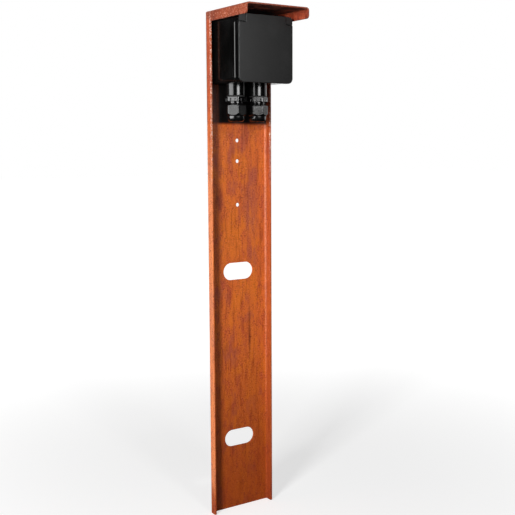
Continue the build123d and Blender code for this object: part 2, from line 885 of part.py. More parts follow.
# Gland body: threaded shank in the entry, hexagonal collar, neck and clamping fingers, about the Z axis
def make_gland_body():
    bore = gland_bore / 2
    seat = seat_diameter / 2
    finger = finger_diameter / 2
    body = turned(
        [
            (bore, spout_end + thread_length),
            (thread_diameter / 2, spout_end + thread_length),
            (thread_diameter / 2, collar_top),
            (neck_diameter / 2, collar_top),
            (neck_diameter / 2, neck_bottom),
            (finger, neck_bottom),
            (finger, (neck_bottom + finger_bottom) / 2),
            (finger_tip_diameter / 2, finger_bottom),
            (seat, finger_bottom),
            (seat, seal_top),
            (bore, seal_top),
        ]
    )
    for index in range(finger_count // 2):
        half_slot = finger_slot / 2
        cut = brick((-finger, finger), (-half_slot, half_slot), (finger_bottom - overrun, neck_bottom))
        body -= Rot(0, 0, index * 360 / finger_count) * cut
    collar = hex_bar(hex_across, collar_bottom, collar_top)
    collar -= bar((0, 0, collar_bottom - overrun), (0, 0, collar_top + overrun), neck_diameter / 2 - overrun)
    notch_middles = (-collar_notch_spacing / 2, collar_notch_spacing / 2)
    notch_face = hex_across / 2 - collar_notch_depth
    notch_top = collar_bottom + collar_notch_height
    collar = cut_flats(collar, notch_face, notch_middles, collar_notch, collar_bottom - overrun, notch_top)
    return body + collar


def make_cable_seal():
    outer = cable_seal_diameter / 2
    inner = cable_bore / 2
    bottom = seal_top - cable_seal_length
    return turned([(inner, bottom), (outer, bottom), (outer, seal_top), (inner, seal_top)])


def make_face_seal():
    outer = spout_diameter / 2 - face_seal_inset
    inner = thread_diameter / 2 + thread_fit
    return turned([(inner, collar_top), (outer, collar_top), (outer, spout_end), (inner, spout_end)])


# Cap nut: hexagon with grooved flats running into a dome, hollow cone inside that presses the fingers in
def make_cap_nut():
    inner = neck_diameter / 2 + nut_fit
    mouth = gland_bore / 2
    root = hex_across / 2 - nut_root_step
    end = mouth + nut_end_ring
    corner = hex_corner + nut_hex_chamfer / 2
    dome_bulge = ((root + end) / 2 + nut_dome_bulge, (nut_bottom + nut_end) / 2 - nut_dome_bulge)
    hexagon = hex_bar(hex_across, nut_end, nut_top)
    profile = make_face(
        Line((0, nut_end), (end, nut_end))
        + ThreePointArc((end, nut_end), dome_bulge, (root, nut_bottom))
        + Polyline(
            (root, nut_bottom), (corner, nut_bottom + nut_hex_chamfer),
            (corner, nut_top - nut_hex_chamfer / 2),
            (corner - nut_hex_chamfer, nut_top), (0, nut_top), (0, nut_end),
        )
    )
    nut = hexagon & revolve(Plane.XZ * profile, axis=Axis.Z)
    nut -= turned(
        [
            (0, nut_end - overrun),
            (mouth, nut_end - overrun),
            (mouth, nut_end + nut_lip),
            (inner, nut_bottom),
            (inner, nut_top + overrun),
            (0, nut_top + overrun),
        ]
    )
    groove_face = hex_across / 2 - nut_groove_depth
    middles = [(index - (nut_rib_grooves - 1) / 2) * nut_groove_pitch for index in range(nut_rib_grooves)]
    return cut_flats(nut, groove_face, middles, nut_groove, nut_bottom + nut_hex_chamfer, nut_top + overrun)


gland_body = make_gland_body()
cable_seal = make_cable_seal()
cap_nut = make_cap_nut()
face_seal = make_face_seal()
for side, x in gland_places.items():
    place = Pos(x, gland_y, 0)
    pieces[side + "_gland_body"] = place * gland_body
    pieces[side + "_cable_seal"] = place * cable_seal
    pieces[side + "_cap_nut"] = place * Rot(0, 0, nut_turns[side]) * cap_nut
pieces["gland_face_seals"] = [Pos(x, gland_y, 0) * face_seal for x in gland_places.values()]


for name, shape in pieces.items():
    solids = shape if isinstance(shape, list) else [shape]
    whole = Compound(children=[solid for item in solids for solid in item.solids()])
    whole.label = name
    export_step(whole, "parts/" + name + ".step")
    print(name, len(whole.solids()), "solids, volume", round(whole.volume, 1))
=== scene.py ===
import math

import bpy
import numpy as np
from mathutils import Matrix, Vector


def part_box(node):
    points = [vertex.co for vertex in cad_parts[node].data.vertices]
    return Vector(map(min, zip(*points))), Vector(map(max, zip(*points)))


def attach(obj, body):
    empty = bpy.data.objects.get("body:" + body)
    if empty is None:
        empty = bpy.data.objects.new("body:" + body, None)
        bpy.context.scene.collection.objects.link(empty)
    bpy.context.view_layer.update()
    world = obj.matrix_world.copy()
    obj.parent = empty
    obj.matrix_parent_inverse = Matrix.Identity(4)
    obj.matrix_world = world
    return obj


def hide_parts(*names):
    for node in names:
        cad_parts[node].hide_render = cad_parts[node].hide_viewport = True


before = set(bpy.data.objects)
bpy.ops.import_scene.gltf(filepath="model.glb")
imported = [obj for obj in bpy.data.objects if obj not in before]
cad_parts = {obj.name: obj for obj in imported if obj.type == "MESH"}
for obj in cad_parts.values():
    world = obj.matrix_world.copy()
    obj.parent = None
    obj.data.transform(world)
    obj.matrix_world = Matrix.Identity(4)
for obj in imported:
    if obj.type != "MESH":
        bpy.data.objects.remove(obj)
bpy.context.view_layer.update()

mm = 0.001

# Post channel: one length of 2 mm weathering steel, cut to outline, folded twice on a press brake and left
# bare, so that it grows a tight orange-brown rust. Its mitred top meets the roof, its foot is cut square.
# Every cut edge has lost its burr and is a little round.
sheet = 2.0 * mm
bend_inside = 2.0 * mm
cut_edge = 0.3 * mm
foot_corner = 2.0 * mm
arc_steps = 6
edge_steps = 4
fill_points = 12
length_rows = 40
sharp_turn = 35
low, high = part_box("post_channel")
half_width = high.x
flange_depth = -low.y
post_height = high.z


def rounded(corners, radii, fills, steps):
    """Closed outline through corners given clockwise. Each is turned into an arc of its own radius about the
    point that lies that far inside both edges, with evenly spaced extra points on the edge that follows it.
    Returns the points and the outward normals."""
    corners = np.asarray(corners, float)
    radii = np.asarray(radii, float)[:, None]
    ahead = np.roll(corners, -1, 0) - corners
    ahead /= np.linalg.norm(ahead, axis=1)[:, None]
    behind = np.roll(ahead, 1, 0)
    normal_in = np.stack([-behind[:, 1], behind[:, 0]], 1)
    normal_out = np.stack([-ahead[:, 1], ahead[:, 0]], 1)
    turn = behind[:, 0] * ahead[:, 1] - behind[:, 1] * ahead[:, 0]
    convex = np.where(turn < 0, 1.0, -1.0)[:, None]
    angle = np.arccos(np.clip((normal_in * normal_out).sum(1), -1, 1))[:, None]
    centre = corners - convex * radii * (normal_in + normal_out) / (1 + np.cos(angle))
    share = np.linspace(0, 1, steps)[None, :, None]
    angle = angle[:, :, None]
    normals = (np.sin((1 - share) * angle) * normal_in[:, None] + np.sin(share * angle) * normal_out[:, None])
    normals /= np.sin(angle)
    points = centre[:, None] + (convex * radii)[:, None] * normals
    line, facing = [], []
    for index, fill in enumerate(fills):
        line.append(points[index])
        facing.append(normals[index])
        between = np.linspace(0, 1, fill + 2)[1:-1, None]
        start, end = points[index, -1], points[(index + 1) % len(corners), 0]
        line.append(start + between * (end - start))
        facing.append(np.repeat(normal_out[index][None], fill, 0))
    return np.concatenate(line), np.concatenate(facing)


def rows_to_faces(rows, columns, close_rows=False):
    """Quads between neighbours of a grid whose columns close into rings, and whose rows may close too."""
    row = np.arange(rows if close_rows else rows - 1)[:, None]
    column = np.arange(columns)[None, :]
    next_row, next_column = (row + 1) % rows, (column + 1) % columns
    quads = [row * columns + column, row * columns + next_column, next_row * columns + next_column,
             next_row * columns + column]
    return np.stack(quads, -1).reshape(-1, 4)


def make_piece(name, points, faces, crease=sharp_turn):
    """Object with a mesh of these points and faces, turned so that its enclosed volume is positive, shaded
    smooth but for the edges that turn by more than the crease angle in degrees."""
    points = np.asarray(points, float).reshape(-1, 3)
    volume = 0.0
    for block in faces:
        block = np.asarray(block)
        for last in range(2, block.shape[1]):
            a, b, c = points[block[:, 0]], points[block[:, last - 1]], points[block[:, last]]
            volume += (a * np.cross(b, c)).sum()
    polygons = [polygon for block in faces for polygon in np.asarray(block).tolist()]
    if volume < 0:
        polygons = [polygon[::-1] for polygon in polygons]
    mesh = bpy.data.meshes.new(name)
    mesh.from_pydata(points.tolist(), [], polygons)
    mesh.polygons.foreach_set("use_smooth", np.ones(len(mesh.polygons), bool))
    mesh.set_sharp_from_angle(angle=math.radians(crease))
    piece = bpy.data.objects.new(name, mesh)
    bpy.context.collection.objects.link(piece)
    return piece


def folded_section():
    """The channel's outline, clockwise from the left flange's tip, in width and in depth behind zero."""
    inner, edge = half_width - sheet, -flange_depth
    corners = [(-half_width, edge), (-half_width, 0), (half_width, 0), (half_width, edge),
               (inner, edge), (inner, -sheet), (-inner, -sheet), (-inner, edge)]
    outer_bend = bend_inside + sheet
    radii = [cut_edge, outer_bend, outer_bend, cut_edge, cut_edge, bend_inside, bend_inside, cut_edge]
    fills = 2 * [fill_points, fill_points, fill_points, 1]
    return rounded(corners, radii, fills, arc_steps)


def rounded_end(depth, corner):
    """How far a flange's free corner draws its end back: a quarter circle's rise near the tip, by depth."""
    into = np.clip(depth - (flange_depth - corner), 0, corner)
    return corner - np.sqrt(np.maximum(corner ** 2 - into ** 2, 0))


def carried_sheet(name, start, end, place):
    """The folded section carried in a straight line from start to end, both given for each point of the
    outline, with its end edges rounded by shrinking the outline as a quarter circle. place turns width,
    depth and distance into a position."""
    outline, normals = folded_section()
    turn = np.linspace(0, math.pi / 2, edge_steps)
    lead, shrink = cut_edge * (1 - np.cos(turn)), cut_edge * (1 - np.sin(turn))
    middle = np.linspace(0, 1, length_rows)[1:-1]
    insets = np.concatenate([shrink, 0 * middle, shrink[::-1]])[:, None]
    begin, finish = start + lead[:, None], end - lead[::-1, None]
    between = begin[-1] + middle[:, None] * (finish[0] - begin[-1])
    along = np.concatenate([begin, between, finish])
    width = outline[:, 0] - insets * normals[:, 0]
    depth = outline[:, 1] - insets * normals[:, 1]
    rows, columns = along.shape
    pair = np.arange(columns // 2 - 1)
    cap = np.stack([pair, pair + 1, columns - 2 - pair, columns - 1 - pair], 1)
    last = (rows - 1) * columns + cap[:, ::-1]
    return make_piece(name, place(width, depth, along), [rows_to_faces(rows, columns), cap, last])


outline_depth = -folded_section()[0][:, 1]
post = carried_sheet(
    "post_sheet", rounded_end(outline_depth, foot_corner), post_height - outline_depth,
    lambda width, depth, along: np.stack([width, depth, along], -1))

# The web's openings, laser cut: two obround slots for a bolt or strap, three small round holes in a line, and
# the two threaded holes behind the box. The cutter flares at both faces, which breaks the edge all round.
slot_length = 45.0 * mm
slot_width = 22.5 * mm
upper_slot_height = 321.0 * mm
lower_slot_height = 96.0 * mm
tie_hole = 5.0 * mm
tie_hole_heights = [491.0 * mm, 464.5 * mm, 408.0 * mm]
fixing_hole = 4.1 * mm
cutter_reach = 1.0 * mm
cutter_arc_steps = 12
arc_slack = 0.001 * mm


def web_cutter(length, width, height):
    """Upright prism of rounded outline through the web, whose outline grows by as much as it stands off
    either face, less the broken edge."""
    x, z, radius = length / 2, width / 2, width / 2 - arc_slack
    corners = [(-x, -z), (-x, z), (x, z), (x, -z)]
    outline, normals = rounded(corners, [radius] * 4, [1] * 4, cutter_arc_steps)
    levels = np.array([cutter_reach, -cut_edge, cut_edge - sheet, -sheet - cutter_reach])
    flare = np.array([cutter_reach + cut_edge, 0, 0, cutter_reach + cut_edge])
    ring = outline[None] + flare[:, None, None] * normals[None]
    depth = np.repeat(levels[:, None], len(outline), 1)
    points = np.stack([ring[..., 0], depth, ring[..., 1] + height], -1).reshape(-1, 3)
    rows, columns = depth.shape
    first = np.arange(columns)[None]
    return points, [rows_to_faces(rows, columns), first[:, ::-1], first + (rows - 1) * columns]


screws_low, screws_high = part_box("box_fixing_screws")
screw_head = 8.0 * mm
openings = [(slot_length, slot_width, upper_slot_height), (slot_length, slot_width, lower_slot_height)]
openings += [(tie_hole, tie_hole, height) for height in tie_hole_heights]
openings += [(fixing_hole, fixing_hole, screws_low.z + screw_head / 2),
             (fixing_hole, fixing_hole, screws_high.z - screw_head / 2)]
for number, opening in enumerate(openings):
    cutter = make_piece("web_cutter_" + str(number), *web_cutter(*opening))
    cut = post.modifiers.new("cut", "BOOLEAN")
    cut.object = cutter
    cut.solver = "EXACT"
    bpy.context.view_layer.update()
    cut_mesh = bpy.data.meshes.new_from_object(post.evaluated_get(bpy.context.evaluated_depsgraph_get()))
    post.modifiers.clear()
    post.data = cut_mesh
    bpy.data.objects.remove(cutter)
post.data.set_sharp_from_angle(angle=math.radians(sharp_turn))


def paint(code):
    """Linear colour of an sRGB hex code, with full alpha."""
    share = np.array([int(code[place:place + 2], 16) for place in (1, 3, 5)]) / 255
    linear = np.where(share <= 0.04045, share / 12.92, ((share + 0.055) / 1.055) ** 2.4)
    return (*linear.tolist(), 1.0)


def add(tree, kind, inputs, **settings):
    """Adds a node with its settings. Each input, by name or number, gets a value or another node's socket.
    By number, a MapRange takes the value, the two ends of its range and the results at them, and a Mix takes
    the share at 0, two numbers at 2 and 3 or two colours at 6 and 7."""
    node = tree.nodes.new("ShaderNode" + kind)
    for name, value in settings.items():
        setattr(node, name, value)
    for name, value in inputs.items():
        if isinstance(value, bpy.types.NodeSocket):
            tree.links.new(value, node.inputs[name])
        else:
            node.inputs[name].default_value = value
    return node


def new_material(name):
    """Empty node material with its output, and the object's own coordinates in metres."""
    material = bpy.data.materials.new(name)
    material.use_nodes = True
    tree = material.node_tree
    tree.nodes.clear()
    output = add(tree, "OutputMaterial", {})
    coordinates = add(tree, "TexCoord", {}).outputs["Object"]
    return material, tree, output, coordinates


# Weathering steel: hot-rolled sheet rusted outdoors. The patina is dry and matt, in soft upright clouds of
# orange, ochre and mauve, grainy at about a millimetre with dark pits, and brown near the ground. Painted
# highlights, glints and sheen lighten the bends, cut edges, outer flange faces and the roof's right flange;
# painted shade and a painted shadow darken the web under the box and the roof's underside.
rust_orange = paint("#cc6328")
rust_ochre = paint("#d46d20")
rust_mauve = paint("#a5503c")
rust_red = paint("#b74e31")
rust_wine = paint("#7d2f1c")
rust_brown = paint("#7c2c02")
rust_pit = paint("#4c200f")
rust_pale = paint("#e2a184")
# Painted glints: near-white flecks where the rough cut edges of the flange tips catch the light.
painted_glint_fleck = paint("#f0d2c0")
rust_roof = paint("#7a3521")
# Painted sheen: the pinker, lighter salmon of the flanges' outer faces.
painted_sheen_salmon = paint("#e29468")
# Painted shade: dark brown on the web under the box and on the roof's underside.
painted_shade_brown = paint("#3c170e")
# Painted shadow: near black on the web behind the glands, below the box.
painted_shadow_black = paint("#0c0a0a")
cloud_size = 17 * mm
cloud_stretch = 0.38
mottle_size = 5 * mm
streak_width = 3.5 * mm
streak_stretch = 0.09
grain_size = 2.0 * mm
fleck_size = 1.1 * mm
patina_rise = 0.3 * mm
patina_roughness = (0.55, 0.75)
# Pairs: where a coat starts to show and where it shows in full, from an edge of the sheet or up the post.
side_ease = (1.0 * mm, 0.4 * mm)
inner_side_ease = (-1.0 * mm, -0.3 * mm)
behind_box_ease = (-1.2 * mm, -1.6 * mm)
web_face_ease = (-5 * mm, -3 * mm)
# Painted highlight: a pale line along the inner bends, stronger higher up.
bend_highlight_ease = (-0.2 * mm, 0.8 * mm)
bend_highlight_depth_ease = (-5 * mm, -4 * mm)
roof_start_ease = (-1 * mm, -3 * mm)
roof_top_ease = (-14 * mm, -8 * mm)
edge_back_ease = (3 * mm, 0.5 * mm)
edge_front_ease = (-2 * mm, -1 * mm)
roof_shade_ease = (-2 * mm, -8 * mm)
head_red = (470 * mm, 600 * mm)
head_wine = (450 * mm, 560 * mm)
edge_glint_height = (400 * mm, 520 * mm)
sheen_fade_top = (520 * mm, 430 * mm)
sheen_fade_foot = (10 * mm, 50 * mm)
bend_highlight_height = (100 * mm, 400 * mm)
splashed_foot = (55 * mm, 10 * mm)
brown_foot = (300 * mm, 0)
pale_body = (0, 350 * mm)
inner_face = half_width - sheet
inner_bend = inner_face - bend_inside
# Edges of the painted shade and the painted shadow on the web under the box.
painted_shadow_left = -31 * mm
painted_shade_right = 42 * mm
painted_shade_bottom = 512.5 * mm
painted_shade_blur = 5 * mm
# Each stain: its colour, its place across and up, its half width and half height, all in millimetres, and
# the share of it that shows at most.
stains = [(rust_wine, -27, 418, 9, 24, 0.6), (rust_mauve, 20, 405, 15, 60, 0.75),
          (rust_ochre, -8, 362, 18, 38, 0.7), (rust_ochre, 24, 300, 10, 45, 0.55),
          (rust_pit, 17, 235, 2.4, 55, 0.6), (rust_ochre, 22, 150, 16, 50, 0.5)]


def coated(tree, colour, coats):
    """Lays coats over a colour, one after another. A coat shows by the product of its limits. A limit turns a
    pattern or a coordinate into a share: the two values between which it eases, and the shares at them."""
    for coat, *limits in coats:
        share = 1.0
        for value, start, finish, first, last in limits:
            limit = add(tree, "MapRange", {0: value, 1: start, 2: finish, 3: first, 4: last},
                        interpolation_type="SMOOTHSTEP").outputs[0]
            share = add(tree, "Math", {0: share, 1: limit}, operation="MULTIPLY").outputs[0]
        colour = add(tree, "Mix", {0: share, 6: colour, 7: coat}, data_type="RGBA").outputs[2]
    return colour


# Nearly the whole of a noise pattern lies between these two values.
noise_low = 0.3
noise_high = 0.7
weathering_steel, tree, output, position = new_material("weathering_steel_patina")
width, depth, height = add(tree, "SeparateXYZ", {0: position}).outputs
across = add(tree, "Math", {0: width}, operation="ABSOLUTE").outputs[0]
upright = add(tree, "Mapping", {"Vector": position, "Scale": (1, 1, cloud_stretch)}).outputs[0]
drawn = add(tree, "Mapping", {"Vector": position, "Scale": (1, 1, streak_stretch)}).outputs[0]
cloud, cloud_two, mottle, streak, grain, fleck = [
    add(tree, "TexNoise", {"Vector": along, "Scale": 1 / size, "Detail": detail, "Roughness": rough,
                           "W": seed}, noise_dimensions="4D").outputs[0]
    for along, size, detail, rough, seed in [
        (upright, cloud_size, 3, 0.6, 0), (upright, cloud_size, 3, 0.6, 4),
        (upright, mottle_size, 3, 0.65, 7), (drawn, streak_width, 3, 0.6, 0),
        (position, grain_size, 4, 0.8, 0), (position, fleck_size, 2, 0.6, 2)]]
past_side = add(tree, "Math", {0: half_width, 1: across}, operation="SUBTRACT").outputs[0]
past_inner_face = add(tree, "Math", {0: width, 1: inner_face}, operation="SUBTRACT").outputs[0]
past_bend = add(tree, "Math", {0: across, 1: inner_bend}, operation="SUBTRACT").outputs[0]
past_tip = add(tree, "Math", {0: depth, 1: flange_depth}, operation="ADD").outputs[0]
below_top = add(tree, "Math", {0: height, 1: post_height}, operation="SUBTRACT").outputs[0]
on_side = (past_side, *side_ease, 0, 1)
behind_box = (depth, *behind_box_ease, 0, 1)
on_web_face = (depth, *web_face_ease, 0, 1)
in_front = (past_tip, *roof_start_ease, 0, 1)
inside_right = (past_inner_face, *inner_side_ease, 0, 1)
under_roof = (below_top, 0, -sheet, 0, 1)
shade_right_limit = (width, painted_shade_right + painted_shade_blur, painted_shade_right, 0, 1)
shadow_left_limit = (width, painted_shadow_left, painted_shadow_left + painted_shade_blur, 0, 1)
shade_above_limit = (height, painted_shade_bottom - painted_shade_blur / 2, painted_shade_bottom + painted_shade_blur / 2, 0, 1)
shade_below_limit = (below_top, *[place - sheet for place in roof_shade_ease], 0, 1)
past_flange, on_top = [
    add(tree, "MapRange", {0: place, 1: start, 2: finish, 3: 0, 4: 1}).outputs[0]
    for place, start, finish in [(past_tip, *roof_start_ease), (below_top, *roof_top_ease)]]
at_roof = (add(tree, "Math", {0: past_flange, 1: on_top}, operation="MAXIMUM").outputs[0], 0, 1, 0, 1)
colour = coated(tree, rust_orange, [
    (rust_ochre, (cloud, 0.46, 0.62, 0, 0.7)),
    (rust_mauve, (cloud_two, 0.5, 0.66, 0, 0.75)),
    (rust_red, (mottle, 0.5, 0.66, 0, 0.6)),
    (rust_ochre, (mottle, 0.44, 0.3, 0, 0.6))])
for stain, x, z, half_wide, half_high, most in stains:
    scale = (1 / (half_wide * mm), 0, 1 / (half_high * mm))
    centred = add(tree, "Mapping", {"Vector": position, "Location": (-x / half_wide, 0, -z / half_high),
                                    "Scale": scale}).outputs[0]
    reach = add(tree, "VectorMath", {0: centred}, operation="LENGTH").outputs["Value"]
    colour = coated(tree, colour, [(stain, (reach, 1, 0.3, 0, most), (mottle, 0.3, 0.55, 0.4, 1))])
colour = coated(tree, colour, [
    (rust_brown, (streak, 0.5, 0.7, 0, 0.5)),
    (rust_ochre, (streak, 0.46, 0.3, 0, 0.35)),
    (rust_brown, (height, *brown_foot, 0, 0.72), (past_side, *side_ease, 1, 0.1)),
    (rust_red, (height, *head_red, 0, 0.65)),
    # Painted sheen on the flanges' outer faces.
    (painted_sheen_salmon, on_side, (height, *sheen_fade_top, 0, 0.45), (height, *sheen_fade_foot, 0, 1)),
    (rust_wine, on_side, (height, *head_wine, 0, 0.45), (mottle, 0.6, 0.4, 0.4, 1)),
    (rust_brown, on_side, (height, *splashed_foot, 0, 0.5)),
    (rust_pit, (grain, 0.48, 0.64, 0, 0.8), (mottle, 0.38, 0.6, 0.2, 1)),
    (rust_pale, (grain, 0.46, 0.32, 0, 0.5), (height, *pale_body, 0.25, 1), (cloud_two, 0.6, 0.35, 0.3, 1)),
    # Painted highlight along the inner bends.
    (rust_pale, (past_bend, *bend_highlight_ease, 0, 1), (depth, *bend_highlight_depth_ease, 0, 1), (height, *bend_highlight_height, 0, 1),
     (grain, 0.62, 0.45, 0.1, 0.45)),
    (rust_wine, inside_right, (mottle, 0.6, 0.4, 0.25, 0.5)),
    (rust_roof, at_roof, (cloud, 0.62, 0.36, 0.6, 0.9)),
    (rust_pit, at_roof, (mottle, 0.5, 0.65, 0, 0.5)),
    (rust_pale, at_roof, (fleck, 0.56, 0.64, 0, 0.6)),
    # Painted light: brighter red on the roof's right flange, which the lamps leave in shade.
    (rust_red, in_front, inside_right, under_roof, (mottle, 0.35, 0.6, 0.6, 0.3)),
    (rust_wine, in_front, inside_right, under_roof, (mottle, 0.4, 0.55, 0.15, 0.85)),
    (rust_pit, in_front, inside_right, under_roof, (grain, 0.5, 0.62, 0, 0.6)),
    # Painted glints on the cut edges of the flange tips.
    (painted_glint_fleck, (past_tip, *edge_back_ease, 0, 1), (past_tip, *edge_front_ease, 0, 1),
     (height, *edge_glint_height, 0, 1), (fleck, 0.52, 0.6, 0, 1)),
    # Painted shade on the web under the box, then the painted shadow behind the glands.
    (painted_shade_brown, on_web_face, behind_box, shade_right_limit, shade_above_limit, shade_below_limit,
     (grain, 0.62, 0.4, 0.6, 1)),
    (painted_shadow_black, on_web_face, behind_box, shade_right_limit, shade_above_limit, shade_below_limit,
     shadow_left_limit),
    # Painted shade on the roof's underside.
    (painted_shade_brown, in_front, (below_top, -0.6 * sheet, -0.9 * sheet, 0, 1), (past_side, sheet, 2 * sheet, 0, 1),
     (cloud, 0.6, 0.4, 0.3, 0.9))])
dryness = add(tree, "MapRange", {0: cloud, 1: noise_low, 2: noise_high, 3: patina_roughness[0],
                                 4: patina_roughness[1]}).outputs[0]
relief = add(tree, "Math", {0: grain, 1: fleck}, operation="ADD").outputs[0]
bump = add(tree, "Bump", {"Height": relief, "Strength": 0.7, "Distance": patina_rise}).outputs[0]
shader = add(tree, "BsdfPrincipled", {"Base Color": colour, "Roughness": dryness, "Normal": bump,
                                      "Specular IOR Level": 0.18})
tree.links.new(shader.outputs[0], output.inputs[0])
post.data.materials.append(weathering_steel)
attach(post, "post")
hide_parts("post_channel")

# Roof: the same folded section run forwards over the box, mitred to the post and welded. Its flanges hang
# down and their free corners are cut to a small radius.
roof_corner = 4.0 * mm
roof_depth = -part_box("roof_cap")[0].y
roof = carried_sheet(
    "roof_sheet", outline_depth, roof_depth - rounded_end(outline_depth, roof_corner),
    lambda width, depth, along: np.stack([width, -along, post_height + depth], -1))
roof.data.materials.append(weathering_steel)
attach(roof, "post")
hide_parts("roof_cap")

# Weld in the corner under the roof: one pass of steel wire laid by hand, so that its face is a row of
# overlapping ripples. It rusts like the sheet that it joins.
weld_low, weld_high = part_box("corner_weld")
weld_leg = weld_high.y - weld_low.y
ripple_pitch = 1.4 * mm
ripple_rise_share = 0.09
ripple_lag_share = 0.8
bead_edge_share = 0.08
bead_bulge_share = 0.1
bead_fill_share = 0.92
bead_rows = 420
bead_columns = 12


def weld_bead(along, around):
    """A quarter-round bead in the corner: the distance from the corner's line follows a bulged chord between
    the two legs, swells and dips once a ripple, later at the middle than at the edges, and closes at the
    ends."""
    length = weld_high.x - weld_low.x
    x = weld_low.x + along * length
    angle = around * math.pi / 2
    bulge = bead_edge_share + bead_bulge_share * np.sin(2 * angle)
    lag = ripple_lag_share * np.sin(2 * angle)
    ripple = 1 + ripple_rise_share * np.sin(2 * math.pi * (x / ripple_pitch - lag)) * np.sin(2 * angle)
    edge = np.minimum(along, 1 - along) * length
    ends = np.sqrt(np.clip(1 - (1 - np.clip(edge / weld_leg, 0, 1)) ** 2, 0, 1))
    chord = 1 / (np.cos(angle) + np.sin(angle))
    reach = weld_leg * (chord + bulge) * ripple * ends * bead_fill_share
    return np.stack([x, weld_high.y - reach * np.cos(angle), weld_high.z - reach * np.sin(angle)], -1)


along, around = np.meshgrid(np.linspace(0, 1, bead_rows), np.linspace(0, 1, bead_columns), indexing="ij")
bead = weld_bead(along, around)
corner_line = np.stack([bead[:, 0, 0], np.full(len(bead), weld_high.y), np.full(len(bead), weld_high.z)], -1)
bead = np.concatenate([bead, corner_line[:, None]], 1)
weld = make_piece("weld_bead", bead, [rows_to_faces(*bead.shape[:2])])
weld.data.materials.append(weathering_steel)
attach(weld, "post")
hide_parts("corner_weld")

# Box, frame, lid and socket cup: injection moulded polycarbonate, black. The mould's sides were polished, so
# that they mirror the dark studio and their round edges catch the lamps. The fronts of the lid and the hinge
# ears were spark eroded, and a lamp spreads over them as a soft gradient.
plastic_black = paint("#060606")
plastic_dust = paint("#101010")
erosion_size = 0.5 * mm
erosion_depth = 0.02 * mm
dust_size = 22 * mm
polished_roughness = (0.15, 0.21)
eroded_roughness = 0.45
polished_until = -66.5 * mm
eroded_from = -68.2 * mm
polycarbonate, tree, output, position = new_material("moulded_black_polycarbonate")
erosion, dust = [add(tree, "TexNoise", {"Vector": position, "Scale": 1 / size, "Detail": 3}).outputs[0]
                 for size in (erosion_size, dust_size)]
depth = add(tree, "SeparateXYZ", {0: position}).outputs[1]
colour = coated(tree, plastic_black, [(plastic_dust, (dust, 0.45, 0.75, 0, 1))])
wiped = add(tree, "MapRange", {0: dust, 1: noise_low, 2: noise_high, 3: polished_roughness[0],
                               4: polished_roughness[1]}).outputs[0]
front = add(tree, "MapRange", {0: depth, 1: polished_until, 2: eroded_from, 3: 0, 4: 1}).outputs[0]
gloss = add(tree, "Mix", {0: front, 2: wiped, 3: eroded_roughness}).outputs[0]
bump = add(tree, "Bump", {"Height": erosion, "Strength": 0.4, "Distance": erosion_depth}).outputs[0]
shader = add(tree, "BsdfPrincipled", {"Base Color": colour, "Roughness": gloss, "Normal": bump,
                                      "Specular IOR Level": 0.32})
tree.links.new(shader.outputs[0], output.inputs[0])


def dress(names, material):
    """Gives solids of the frame their one material."""
    for name in names:
        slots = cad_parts[name].data.materials
        slots.clear()
        slots.append(material)


dress(["back_box", "cover_frame", "lid", "socket_cup"], polycarbonate)

# Foot of each hinge ear: a web moulded under the ear, of the same polycarbonate. It is rounded about the
# hinge line, so that the lid's shoulder turns past it and no light comes through between the two.
frame_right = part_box("cover_frame")[1].x
hinge_y = -64.6 * mm
hinge_z = 636.2 * mm
ear_inner = 29.6 * mm
ear_drop = 5.0 * mm
ear_web_front = -68.2 * mm
ear_web_radius = 6.8 * mm
ear_web_depth = 0.4 * mm
ear_web_inset = 0.05 * mm
ear_arc_points = 14


def ear_web(side):
    """Two equal rings across the ear: the arc of a circle about the hinge line, from the web's front round to
    where it meets the ear's foot, then straight back inside the ear."""
    inside_ear = hinge_z - ear_drop + ear_web_depth
    start = math.asin((hinge_y - ear_web_front) / ear_web_radius)
    finish = -math.acos(ear_drop / ear_web_radius)
    angle = np.linspace(start, finish, ear_arc_points)
    y = hinge_y - ear_web_radius * np.sin(angle)
    z = hinge_z - ear_web_radius * np.cos(angle)
    y = np.append(y, [y[-1], ear_web_front])
    z = np.append(z, [inside_ear, inside_ear])
    inner, outer = side * (ear_inner + ear_web_inset), side * (frame_right - ear_web_inset)
    count = len(y)
    x = np.repeat([[inner], [outer]], count, 1)
    points = np.stack([x, np.tile(y, (2, 1)), np.tile(z, (2, 1))], -1)
    first = np.arange(count)[None]
    return make_piece("ear_web_" + ("left" if side < 0 else "right"), points,
                      [rows_to_faces(2, count), first[:, ::-1], first + count])


for side in (-1, 1):
    web = ear_web(side)
    web.data.materials.append(polycarbonate)
    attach(web, "post")

# Glands: nylon, moulded black, with the slight sheen of that plastic. The body has a hexagonal collar with
# two notches in each face, a threaded neck and eight clamping fingers. The cap nut is a hexagon with fine
# upright ribs, cut to a cone below, that runs into a smooth dome with the cable's mouth in its end.
nylon_black = paint("#060606")
nylon_gloss = paint("#0c0c0d")
nylon_flow_size = 6 * mm
nylon_skin_size = 0.4 * mm
nylon_skin_rise = 0.02 * mm
nylon_roughness = (0.16, 0.22)
moulded_nylon, tree, output, position = new_material("moulded_black_nylon")
flow, skin = [add(tree, "TexNoise", {"Vector": position, "Scale": 1 / size, "Detail": 3}).outputs[0]
              for size in (nylon_flow_size, nylon_skin_size)]
colour = add(tree, "Mix", {0: flow, 6: nylon_black, 7: nylon_gloss}, data_type="RGBA").outputs[2]
gloss = add(tree, "MapRange", {0: flow, 1: noise_low, 2: noise_high, 3: nylon_roughness[0],
                               4: nylon_roughness[1]}).outputs[0]
bump = add(tree, "Bump", {"Height": skin, "Strength": 0.25, "Distance": nylon_skin_rise}).outputs[0]
shader = add(tree, "BsdfPrincipled", {"Base Color": colour, "Roughness": gloss, "Normal": bump,
                                      "Specular IOR Level": 0.45})
tree.links.new(shader.outputs[0], output.inputs[0])

